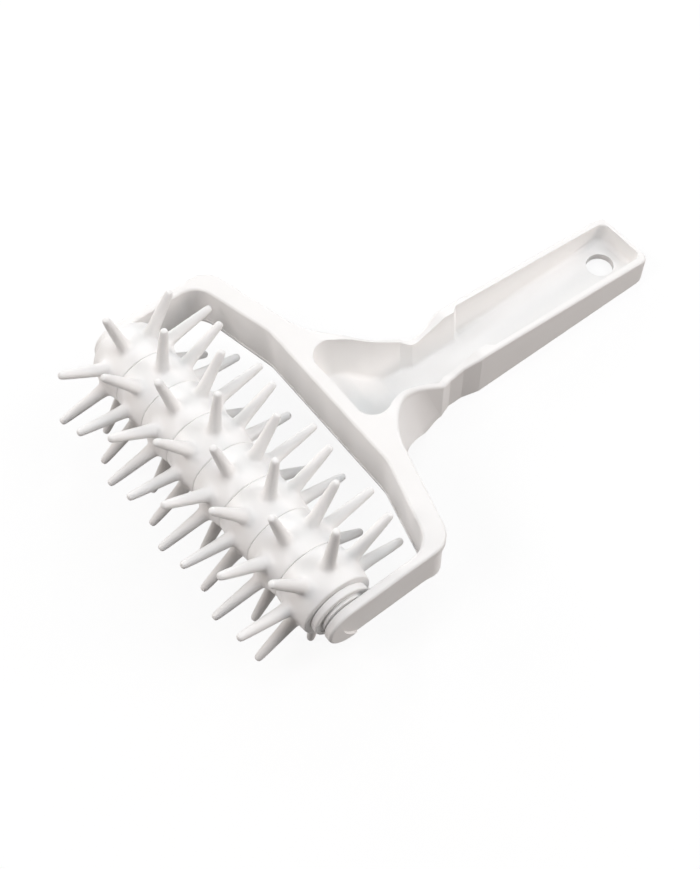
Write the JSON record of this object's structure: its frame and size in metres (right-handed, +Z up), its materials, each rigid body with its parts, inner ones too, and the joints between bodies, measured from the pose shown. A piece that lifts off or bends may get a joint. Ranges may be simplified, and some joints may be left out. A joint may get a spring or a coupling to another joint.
{
  "type": "dough docker",
  "caption": "Handheld dough docker: a spiked roller turning between the arms of a one-piece yoke with a hollow tray handle and hanging hole.",
  "frame": {"origin": "On the surface that the tool stands on, under the middle of its box.", "axes": "+X along the roller's axle to the right, +Y from the roller to the handle's end, +Z up out of the tray side."},
  "size_m": [0.1254, 0.2004, 0.0599],
  "materials": {
    "frame_plastic": "satin moulded",
    "ring_plastic": "satin moulded",
    "disc_plastic": "satin moulded",
    "axle_plastic": "plain moulded"
  },
  "bodies": {
    "frame": {"handle_frame": "frame_plastic"},
    "roller": {"axle": "axle_plastic", "spike_ring_1": "ring_plastic", "spike_ring_2": "ring_plastic", "spike_ring_3": "ring_plastic", "spike_ring_4": "ring_plastic", "spike_ring_5": "ring_plastic", "spike_ring_6": "ring_plastic", "spike_ring_7": "ring_plastic", "spike_ring_8": "ring_plastic", "end_disc_left": "disc_plastic", "end_disc_right": "disc_plastic", "washer_left": "disc_plastic", "washer_right": "disc_plastic"}
  },
  "joints": [
    {"name": "roller_spin", "type": "hinge", "parent": "frame", "child": "roller", "pos_m": [0, -0.07028, 0.02994], "axis": [1, 0, 0], "continuous": true}
  ]
}
